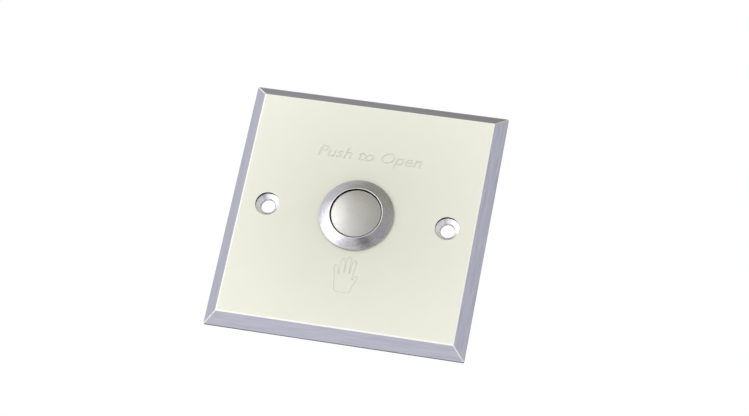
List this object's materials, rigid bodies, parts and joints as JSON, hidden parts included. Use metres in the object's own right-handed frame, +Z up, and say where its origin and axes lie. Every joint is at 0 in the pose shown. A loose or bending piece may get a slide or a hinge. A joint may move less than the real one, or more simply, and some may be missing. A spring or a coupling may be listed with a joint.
{
  "type": "door exit button",
  "caption": "Square bevelled metal wall plate with a round metal push button, its screw terminals behind and two countersunk fixing holes beside it.",
  "frame": {"origin": "centre of the plate's back plane, on the button's axis, midway between the two fixing screws", "axes": "+Z up the wall, +X to the right as seen from the room, +Y into the wall; the face looks towards -Y"},
  "size_m": [0.086, 0.0248, 0.086],
  "materials": {
    "plate_aluminium": "satin cream coat on the face, bare fine-brushed bevels",
    "satin_metal": "satin turned metal",
    "cap_metal": "satin blasted metal",
    "black_rubber": "matt",
    "zinc_steel": "zinc plated",
    "nickel_brass": "nickel plated brass",
    "nickel_steel": "nickel plated steel",
    "spring_steel": "drawn spring wire and strip",
    "brass": "bare stamped brass",
    "silver": "bare contact silver",
    "white_nylon": "moulded nylon",
    "grey_nylon": "moulded nylon",
    "black_phenolic": "moulded insulator, slightly glossy"
  },
  "bodies": {
    "wall_unit": {"face_plate": "plate_aluminium", "button_housing": "satin_metal", "flange_gasket": "black_rubber", "lock_washer": "zinc_steel", "mounting_nut": "nickel_brass", "return_spring": "spring_steel", "guide_plate": "grey_nylon", "switch_base": "black_phenolic", "base_snap_ring": "spring_steel", "fixed_contact_no": "silver", "fixed_contact_com": "silver", "terminal_no": "brass", "terminal_com": "brass", "clamp_washer_no": "zinc_steel", "clamp_washer_com": "zinc_steel", "terminal_screw_no": "nickel_steel", "terminal_screw_com": "nickel_steel"},
    "button": {"button_cap": "cap_metal", "cap_seal_ring": "black_rubber", "plunger": "white_nylon", "contact_bridge": "brass", "bridge_contact_no": "silver", "bridge_contact_com": "silver", "stem_clip": "spring_steel"}
  },
  "joints": [
    {"name": "button_press", "type": "slide", "parent": "wall_unit", "child": "button", "axis": [0, 1, 0], "range_m": [0, 0.0025], "stiffness_N_per_m": 600, "springref_m": -0.003, "deforming": ["return_spring"]}
  ]
}
